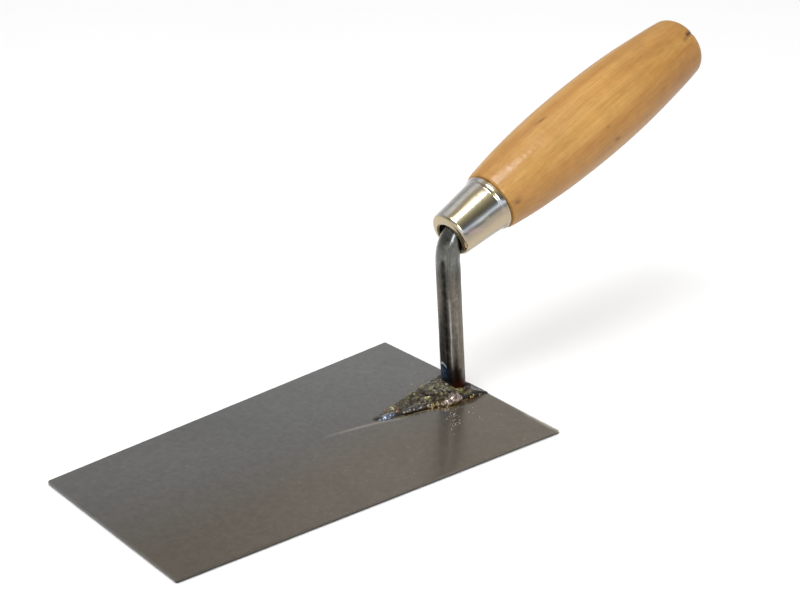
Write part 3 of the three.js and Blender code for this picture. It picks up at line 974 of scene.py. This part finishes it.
def makeFoot(material):
    points = []
    layers = {"rough": [], "high": [], "pit": []}
    for i in range(foot["along"] + 1):
        fromHeel = mix(foot["heelGap"], foot["length"], i / foot["along"])
        half = footHalf(fromHeel)
        if fromHeel < foot["flatFrom"]:
            thick = mix(foot["heelThick"], foot["thick"], fromHeel / foot["flatFrom"])
        else:
            sloping = (fromHeel - foot["flatTo"]) / (foot["length"] - foot["flatTo"])
            thick = mix(foot["thick"], foot["tipThick"], max(0, sloping))
        for j in range(foot["across"] + 1):
            across = 2 * j / foot["across"] - 1
            x = heelX - fromHeel
            y = across * half
            edge = (1 - abs(across)) * half
            ragged = 1.5 * noiseAt(x, y, 0, 3, 28)
            front = smoothStep(heelX - 4, heelX - 9.5, x + ragged + 0.25 * y)
            body = crust(x, y)
            gully = gullyAt(x, y)
            rough = front * smoothStep(0.0, 1.0, edge)
            relief = mix(0.85, 0.5, smoothStep(66, 71, x)) * mix(1, 0.5, smoothStep(48, 44, x))
            height = thick * mix(0.55, 1, smoothStep(0, 0.8, edge)) + rough * (relief * body - 1.1 * gully)
            height += (1 - front) * 0.12 * noiseAt(x, y, 0, 2, 14)
            points.append((x, y, bladeTop + max(bladeLift(x, y) + 0.25, height)))
            pit = rough * max(gully, smoothStep(0.0, -0.7, body))
            record(layers, rough=rough, high=smoothStep(-0.75, 1.25, body), pit=pit)
    wide = foot["across"] + 1
    top = len(points)
    faces = []
    for i in range(foot["along"]):
        for j in range(foot["across"]):
            a = i * wide + j
            faces.append((a, a + 1, a + wide + 1, a + wide))
            faces.append((top + a, top + a + wide, top + a + wide + 1, top + a + 1))
    points += [(x, y, bladeTop - 0.3) for x, y, z in points]
    border = [i * wide + j for i, j in borderOf(foot["along"], foot["across"])]
    for k, a in enumerate(border):
        b = border[(k + 1) % len(border)]
        faces.append((a, b, top + b, top + a))
    floats = {name: values + [0] * top for name, values in layers.items()}
    return makePiece("foot_crust", points, faces, material, ["foot_plate"], floats=floats)


def crustMaterial():
    material, tree, shader = startMaterial("scaleAndLacquer", {
        "Metallic": 0.35,
        "Coat Roughness": 0.07,
        "Coat IOR": 1.5,
    })
    grains = noiseTexture(tree, 700, 4, 0.65)
    cloud = noiseTexture(tree, 190, 3, 0.55)
    fine = noiseTexture(tree, 2200, 2, 0.6)
    rust = noiseTexture(tree, 420, 3, 0.6)
    mottle = plus(tree, times(tree, cloud, 0.9), times(tree, grains, 0.75))
    height = plus(tree, times(tree, attribute(tree, "high"), 0.6), mottle)
    # colour by height: the grain tops are painted highlights and the low parts painted shade
    lit = ramp(tree, calculate(tree, "SUBTRACT", height, 0.6), foot["crust"])
    base = blend(tree, attribute(tree, "rough"), foot["plain"], lit)
    base = blend(tree, ramp(tree, rust, [(0.57, 0.0), (0.68, 0.5)]), base, foot["rust"])
    base = blend(tree, attribute(tree, "pit"), base, foot["deep"])
    rough = plus(tree, times(tree, cloud, 0.3), 0.2)
    rough = plus(tree, rough, times(tree, attribute(tree, "pit"), 0.4), True)
    coat = plus(tree, times(tree, attribute(tree, "rough"), 0.8), 0.12)
    coat = times(tree, coat, calculate(tree, "SUBTRACT", 1.0, attribute(tree, "pit"), True))
    normal = bump(tree, grains, 0.2)
    normal = bump(tree, fine, 0.04, 0.8, normal)
    finish(tree, shader, {"Base Color": base, "Roughness": rough, "Coat Weight": coat, "Normal": normal})
    return material


crustFinish = crustMaterial()
makeFoot(crustFinish)


def lumpMass(name, lumps, voxel, roughness, grain, floor, smoothing=1):
    # Melts lumps into one uneven closed mass. Each is (x, y, z, length, width, height, heading), and the
    # three sizes are half sizes.
    shell = bmesh.new()
    for x, y, z, length, width, height, heading in lumps:
        size = Matrix.Diagonal((length, width, height, 1))
        turn = Matrix.Rotation(math.radians(heading), 4, "Z")
        move = Matrix.Translation((x, y, z))
        bmesh.ops.create_icosphere(shell, subdivisions=3, radius=1, matrix=move @ turn @ size)
    mesh = bpy.data.meshes.new(name + "Raw")
    shell.to_mesh(mesh)
    shell.free()
    raw = addObject(name + "Raw", mesh)
    melt = raw.modifiers.new("melt", "REMESH")
    melt.mode = "VOXEL"
    melt.voxel_size = voxel
    settle = raw.modifiers.new("settle", "SMOOTH")
    settle.factor = 0.5
    settle.iterations = smoothing
    bpy.context.view_layer.update()
    made = raw.evaluated_get(bpy.context.evaluated_depsgraph_get()).to_mesh()
    faces = [tuple(f.vertices) for f in made.polygons]
    points = []
    for vertex in made.vertices:
        p, out = vertex.co.copy(), vertex.normal.copy()
        fine = noiseAt(p.x, p.y, p.z, grain / 2.6, 16)
        p += out * (roughness * (noiseAt(p.x, p.y, p.z, grain, 15) + 0.5 * fine))
        p.z = max(floor, p.z)
        points.append(p)
    bpy.data.objects.remove(raw)
    return points, faces


weld = {
    "voxel": 0.2,
    "nearBead": [    # x, y, z, length, width, height, heading
        (73.2, -9.4, 2.8, 3.7, 2.7, 3.1, 14), (74.0, -8.6, 4.6, 2.7, 1.7, 1.7, 24),
        (75.2, -10.2, 2.6, 2.0, 1.7, 2.2, 0), (70.2, -9.6, 2.7, 2.6, 2.2, 2.1, 5),
        (68.9, -9.4, 3.3, 1.3, 1.1, 1.2, 0), (67.6, -8.9, 2.3, 1.7, 1.5, 1.6, 20),
        (65.7, -7.9, 2.5, 1.4, 1.4, 1.6, 0), (63.6, -7.2, 2.5, 1.5, 1.3, 1.5, 20),
        (61.7, -6.5, 2.3, 1.2, 1.2, 1.4, 0), (65.0, -9.2, 1.7, 1.2, 0.8, 0.8, 25),
        (62.6, -8.0, 1.6, 1.0, 0.6, 0.6, 15), (68.5, -11.0, 1.7, 1.3, 0.8, 0.7, 10),
        (59.8, -5.3, 2.8, 3.2, 1.5, 1.2, 11), (56.8, -4.7, 2.85, 3.4, 1.6, 1.2, 11),
        (53.8, -4.1, 2.75, 3.2, 1.5, 1.1, 11), (51.2, -3.4, 2.4, 2.0, 1.3, 0.9, 11),
        (58.6, -3.6, 3.1, 2.2, 0.7, 0.7, 14), (54.8, -2.9, 2.9, 2.0, 0.6, 0.6, 10),
        (81.4, -11.4, 2.0, 1.2, 0.8, 0.9, 0), (83.2, -11.1, 2.3, 0.8, 0.7, 0.9, 0),
        (84.8, -10.2, 2.2, 0.7, 0.7, 0.8, 0), (85.9, -11.9, 2.0, 0.9, 0.7, 0.8, 0),
        (86.8, -10.6, 2.1, 0.6, 0.6, 0.5, 0), (82.3, -9.9, 2.9, 0.8, 0.7, 0.8, 0),
        (78.2, -11.2, 1.7, 1.8, 0.7, 0.7, 8),
    ],
    "tip": [
        (42.5, -1.6, 1.9, 3.2, 1.7, 1.35, 12), (40.2, -1.0, 1.6, 2.1, 1.2, 0.8, 8),
        (44.8, -2.1, 2.2, 2.0, 1.2, 1.15, 12), (48.9, -1.2, 2.4, 1.6, 1.1, 1.15, 40),
        (50.2, 0.4, 2.5, 0.9, 1.6, 1.1, 0), (49.0, 2.1, 2.4, 1.6, 1.0, 1.0, -40),
        (46.3, 2.5, 2.1, 1.8, 0.7, 0.8, -10), (46.3, -1.5, 2.2, 1.6, 0.9, 1.0, 10),
        (47.4, 0.6, 1.8, 2.2, 2.0, 0.6, 0), (38.2, -0.1, 1.5, 1.6, 0.8, 0.45, 0),
    ],
    "heap": [
        (75.8, 0.2, 4.3, 3.6, 4.4, 2.9, 0), (72.8, 0.8, 3.9, 3.8, 3.8, 1.8, 0),
        (76.4, -2.8, 4.0, 3.0, 2.8, 2.1, 0), (77.4, 3.0, 4.0, 3.2, 2.6, 2.4, 0),
        (79.6, -5.6, 3.7, 2.6, 1.5, 0.9, 0), (81.7, 5.5, 3.9, 3.6, 1.4, 1.2, 0),
        (85.2, 4.4, 3.7, 1.3, 1.6, 0.6, 0), (86.2, -4.1, 3.6, 1.3, 1.2, 0.8, 0),
        (83.6, -5.6, 3.7, 2.0, 1.1, 0.8, 0), (69.4, 1.4, 3.6, 3.0, 2.8, 1.0, 0),
        (81.7, 0, 3.4, 6.1, 6.1, 0.7, 0), (74.5, 3.8, 3.6, 2.8, 1.6, 1.4, 20),
    ],
    "farBead": {"count": 22, "from": 4.5, "spacing": 1.7, "setOut": 0.25, "heading": -11},
    "grey": (0.125, 0.122, 0.118),
    "pinkAndHighlight": (0.40, 0.31, 0.265),
    "bronze": (0.20, 0.10, 0.062),
    "steelBlueAndHighlight": (0.26, 0.31, 0.40),
    "gold": (0.22, 0.155, 0.06),
    "umber": (0.17, 0.10, 0.04),
    # painted shade, in the hollows and where the welds meet the blade
    "dark": (0.025, 0.014, 0.008),
    "ember": (0.06, 0.016, 0.01),
}


def weldMaterial():
    material, tree, shader = startMaterial("weldMetal", {
        "Metallic": 0.9,
        "Coat Weight": 0.8,
        "Coat Roughness": 0.06,
    })
    grains = noiseTexture(tree, 520, 4, 0.65)
    fine = noiseTexture(tree, 1900, 3, 0.65)
    rust = noiseTexture(tree, 330, 3, 0.6)
    tint = attribute(tree, "tint", "Color")
    shade = ramp(tree, grains, [(0.32, 0.45), (0.52, 0.95), (0.66, 1.7)])
    base = shaded(tree, tint, shade)
    base = blend(tree, ramp(tree, rust, [(0.56, 0.0), (0.66, 0.6)]), base, weld["umber"])
    # painted shade in the hollows, from the mesh's pointiness
    creviceShade = ramp(tree, addNode(tree, "NewGeometry").outputs["Pointiness"], [(0.42, 0.85), (0.49, 0.0)])
    base = blend(tree, creviceShade, base, weld["dark"])
    rough = plus(tree, times(tree, fine, 0.3), 0.12)
    normal = bump(tree, grains, 0.07)
    normal = bump(tree, fine, 0.02, 0.8, normal)
    finish(tree, shader, {"Base Color": base, "Roughness": rough, "Normal": normal})
    return material


weldFinish = weldMaterial()


def nearTint(p):
    # pink on the upper lumps is partly heat tint and partly a painted highlight; browner and then dark low
    # down, painted shade where the bead meets the blade
    colour = mixColour(weld["gold"], weld["pinkAndHighlight"], smoothStep(65, 69, p.x) * smoothStep(2.2, 3.8, p.z))
    colour = mixColour(colour, weld["grey"], 1 - smoothStep(60, 62.5, p.x))
    colour = mixColour(colour, weld["gold"], smoothStep(78, 81, p.x))
    colour = mixColour(weld["umber"], colour, smoothStep(1.8, 3.0, p.z))
    return mixColour(weld["dark"], colour, smoothStep(1.3, 2.0, p.z))


def tipTint(p):
    # the blue-white nose is partly heat tint and partly a painted highlight; dark low down where the drops
    # meet the blade is painted shade, and the point is darker too
    colour = mixColour(weld["steelBlueAndHighlight"], weld["bronze"], smoothStep(43.8, 46.2, p.x + 0.7 * p.y))
    inner = math.hypot(p.x - 47.4, p.y - 0.6)
    hollow = (1 - smoothStep(1.1, 2.0, inner)) * (1 - smoothStep(2.9, 3.4, p.z))
    colour = mixColour(colour, weld["ember"], hollow)
    colour = mixColour(colour, weld["gold"], smoothStep(49, 50.5, p.x))
    return mixColour(weld["dark"], colour, smoothStep(37.5, 40.5, p.x) * smoothStep(1.3, 1.9, p.z))


def makeWeld(name, lumps, tint, node, roughness, grain):
    points, faces = lumpMass(name, lumps, weld["voxel"], roughness, grain, bladeTop - 0.2)
    tints = [tint(p) for p in points]
    return makePiece(name, points, faces, weldFinish, [node], {"tint": tints})


def farTint(p):
    return mixColour(weld["grey"], weld["gold"], 0.5)


def farLumps():
    bead = weld["farBead"]
    lumps = []
    for i in range(bead["count"]):
        fromHeel = bead["from"] + bead["spacing"] * i
        size = 0.75 + 0.3 * random.random()
        y = footHalf(fromHeel) + bead["setOut"]
        lumps.append((heelX - fromHeel, y, bladeTop + 0.3, 1.3, 0.7 * size, 0.85 * size, bead["heading"]))
    return lumps


makeWeld("weld_bead_near", weld["nearBead"], nearTint, "foot_weld_near", roughness=0.17, grain=1.3)
makeWeld("weld_drops_tip", weld["tip"], tipTint, "foot_weld_tip", roughness=0.18, grain=1.1)
makeWeld("weld_bead_far", farLumps(), farTint, "foot_weld_far", roughness=0.12, grain=1.0)


def makeHeap():
    name = "weld_heap_shank"
    points, faces = lumpMass(name, weld["heap"], voxel=0.25, roughness=0.5, grain=1.3, floor=3.2, smoothing=2)
    layers = {"rough": [], "high": [], "pit": []}
    for p in points:
        body = crust(p.x, p.y + p.z)
        high = smoothStep(-0.8, 1.3, body) * mix(1, 0.45, smoothStep(79, 83, p.x))
        climb = p.z - foot["thick"] - 1.1
        gully = gullyAt(p.x + 1.3 * climb, p.y + 1.6 * climb)
        pit = max(gully, 0.9 * smoothStep(0.0, -0.8, body), 0.4 * smoothStep(80, 84, p.x))
        record(layers, rough=1, high=high, pit=pit)
    return makePiece(name, points, faces, crustFinish, ["shank_weld"], floats=layers)


makeHeap()


spatter = {"count": 90, "smallest": 0.1, "largest": 0.34, "tint": (0.50, 0.45, 0.40)}


def makeSpatter():
    shell = bmesh.new()
    tints = []
    for i in range(spatter["count"]):
        # most fell beside the near weld, some further out and a few on the far side
        if i % 3:
            y = -random.triangular(13, 33, 18)
            x = 68 + 0.75 * (y + 14) + random.gauss(0, 2.2)
        else:
            y = -random.uniform(13, 30) if i % 2 else random.uniform(13, 24)
            x = min(heelX - 4, random.gauss(75, 6))
        size = mix(spatter["smallest"], spatter["largest"], random.random() ** 2)
        z = bladeTop + bladeLift(x, y)
        stretch = Matrix.Diagonal((size * random.uniform(1, 1.5), size, 0.7 * size, 1))
        form = Matrix.Translation((x, y, z)) @ stretch
        made = bmesh.ops.create_icosphere(shell, subdivisions=2, radius=1, matrix=form)
        tints += [weld["gold"] if random.random() < 0.25 else spatter["tint"]] * len(made["verts"])
    shell.verts.ensure_lookup_table()
    points = [v.co.copy() for v in shell.verts]
    faces = [tuple(v.index for v in f.verts) for f in shell.faces]
    shell.free()
    return makePiece("weld_spatter", points, faces, weldFinish, colours={"tint": tints})


makeSpatter()

lacquer = {
    "run": [(41, -3.9), (46.6, -5.9), (54.9, -6.7), (61, -8.4), (67, -11.6), (73, -13.9)],
    "width": 0.42,
    "height": 0.13,
    "sides": 12,
    "deep": (0.09, 0.06, 0.025),
    "colour": (0.17, 0.135, 0.045),
    "pale": (0.36, 0.32, 0.15),
}


def lacquerMaterial():
    material, tree, shader = startMaterial("driedLacquer", {
        "Metallic": 0.2,
        "Coat Weight": 1.0,
        "Coat Roughness": 0.08,
    })
    cloud = noiseTexture(tree, 300, 4, 0.6)
    base = ramp(tree, cloud, [(0.3, lacquer["deep"]), (0.6, lacquer["colour"]), (0.78, lacquer["pale"])])
    rough = plus(tree, times(tree, cloud, 0.3), 0.15)
    finish(tree, shader, {"Base Color": base, "Roughness": rough, "Normal": bump(tree, cloud, 0.08)})
    return material


def makeLacquerRun():
    line = smoothLine(lacquer["run"], 0.5)
    rings = []
    for i, (x, y) in enumerate(line):
        ahead = Vector(line[min(i + 1, len(line) - 1)]) - Vector(line[max(i - 1, 0)])
        side = Vector((-ahead.y, ahead.x)).normalized()
        fade = math.sin(math.pi * (i + 0.5) / len(line)) ** 0.5
        wide = lacquer["width"] * fade * (1 + 0.5 * noiseAt(x, y, 0, 2.2, 17))
        high = lacquer["height"] * fade * (1 + 0.4 * noiseAt(x, y, 0, 1.6, 18))
        base = bladeTop + bladeLift(x, y) - 0.05
        ring = []
        for k in range(lacquer["sides"]):
            turn = 2 * math.pi * k / lacquer["sides"]
            across = wide * math.cos(turn)
            rise = high * math.sin(turn) if math.sin(turn) > 0 else 0.1 * math.sin(turn)
            ring.append(Vector((x + side.x * across, y + side.y * across, base + rise)))
        rings.append(ring)
    ends = [[sum(rings[k], Vector()) / lacquer["sides"]] for k in (0, -1)]
    points, faces = loft([ends[0], *rings, ends[1]])
    return makePiece("lacquer_run", points, faces, lacquerMaterial())


makeLacquerRun()


studio = {
    "floorSize": 6.0,
    "floorDrop": 0.0003,
    "floorColour": (0.95, 0.95, 0.95),
    "lightDistance": 0.9,
    "key": {"power": 3.6, "size": (0.42, 0.42), "from": (-0.26, -0.16, 0.95), "colour": (1, 1, 1)},
    "front": {"power": 2.4, "size": (0.22, 0.34), "from": (-0.49, -0.74, 0.46), "colour": (0.82, 0.91, 1.0)},
    "fill": 0.93,
    # what bright surfaces see behind and ahead of the object: height from 0, level, to 1, straight up,
    # and brightness
    "behind": [(0.0, 0.85), (0.2, 0.5), (0.36, 0.4), (0.5, 0.3), (0.58, 0.33), (0.7, 0.6), (0.9, 0.65)],
    "ahead": [
        (0.05, 0.85), (0.1, 1.2), (0.24, 1.2), (0.33, 0.4),
        (0.45, 0.11), (0.6, 0.12), (0.78, 0.24), (0.92, 0.4),
    ],
    "middle": (0.06, 0, 0.05),
}


def makeFloor():
    shell = bmesh.new()
    bmesh.ops.create_grid(shell, x_segments=8, y_segments=8, size=studio["floorSize"] / 2)
    mesh = bpy.data.meshes.new("floor")
    shell.to_mesh(mesh)
    shell.free()
    floor = addObject("floor", mesh)
    material, tree, shader = startMaterial("paleFloor", {"Roughness": 0.9, "Specular IOR Level": 0.1})
    cloud = noiseTexture(tree, 3, 2, 0.5)
    pale = studio["floorColour"]
    darker = tuple(0.98 * c for c in pale)
    finish(tree, shader, {"Base Color": ramp(tree, cloud, [(0.3, darker), (0.7, pale)])})
    mesh.materials.append(material)
    floor.location.z = -studio["floorDrop"]


def makeWorld():
    # Even light for matt surfaces, and a room for bright ones: paler behind the object, dark in front.
    world = bpy.data.worlds.new("room")
    world.use_nodes = True
    tree = world.node_tree
    tree.nodes.clear()
    where = addNode(tree, "TexCoord").outputs["Generated"]
    parts = addNode(tree, "SeparateXYZ", links={"Vector": where})
    height = parts.outputs["Z"]
    behind = ramp(tree, height, studio["behind"])
    ahead = ramp(tree, height, studio["ahead"])
    depth = plus(tree, times(tree, parts.outputs["Y"], 1.4), 0.5, True)
    seen = blend(tree, depth, ahead, behind)
    mirror = addNode(tree, "Background", {"Strength": 1.0}, {"Color": seen})
    even = addNode(tree, "Background", {"Color": (1, 1, 1, 1), "Strength": studio["fill"]})
    path = addNode(tree, "LightPath")
    mixed = addNode(tree, "MixShader", links={
        0: path.outputs["Is Glossy Ray"],
        1: even.outputs[0],
        2: mirror.outputs[0],
    })
    output = addNode(tree, "OutputWorld", links={"Surface": mixed.outputs[0]})
    output.is_active_output = True
    bpy.context.scene.world = world


def makeLight(name):
    settings = studio[name]
    data = bpy.data.lights.new(name, "AREA")
    data.shape = "RECTANGLE"
    data.size, data.size_y = settings["size"]
    data.energy = settings["power"]
    data.color = settings["colour"]
    light = addObject(name, data)
    aim = Vector(settings["from"]).normalized()
    light.location = Vector(studio["middle"]) + aim * studio["lightDistance"]
    light.rotation_euler = aim.to_track_quat("Z", "Y").to_euler()
    return light


camera = {
    "place": (-0.339103, -0.458669, 0.318351),
    "azimuth": -40.416,
    "elevation": 23.837,
    "roll": -0.2156,
    "lens": 72.73,
    "sensor": 36,
}


def makeCamera():
    data = bpy.data.cameras.new("camera")
    data.lens = camera["lens"]
    data.sensor_width = camera["sensor"]
    data.clip_start = 0.01
    eye = addObject("camera", data)
    turn = Matrix.Rotation(math.radians(camera["azimuth"]), 4, "Z")
    tilt = Matrix.Rotation(math.radians(90 - camera["elevation"]), 4, "X")
    roll = Matrix.Rotation(math.radians(camera["roll"]), 4, "Z")
    eye.matrix_world = Matrix.Translation(camera["place"]) @ turn @ tilt @ roll
    bpy.context.scene.camera = eye


makeFloor()
makeWorld()
makeLight("key")
front = makeLight("front")
front.visible_diffuse = False    # it only adds gloss
makeCamera()
bpy.context.scene.view_settings.view_transform = "Standard"
bpy.context.scene.view_settings.look = "None"
print("floor, light and camera set")
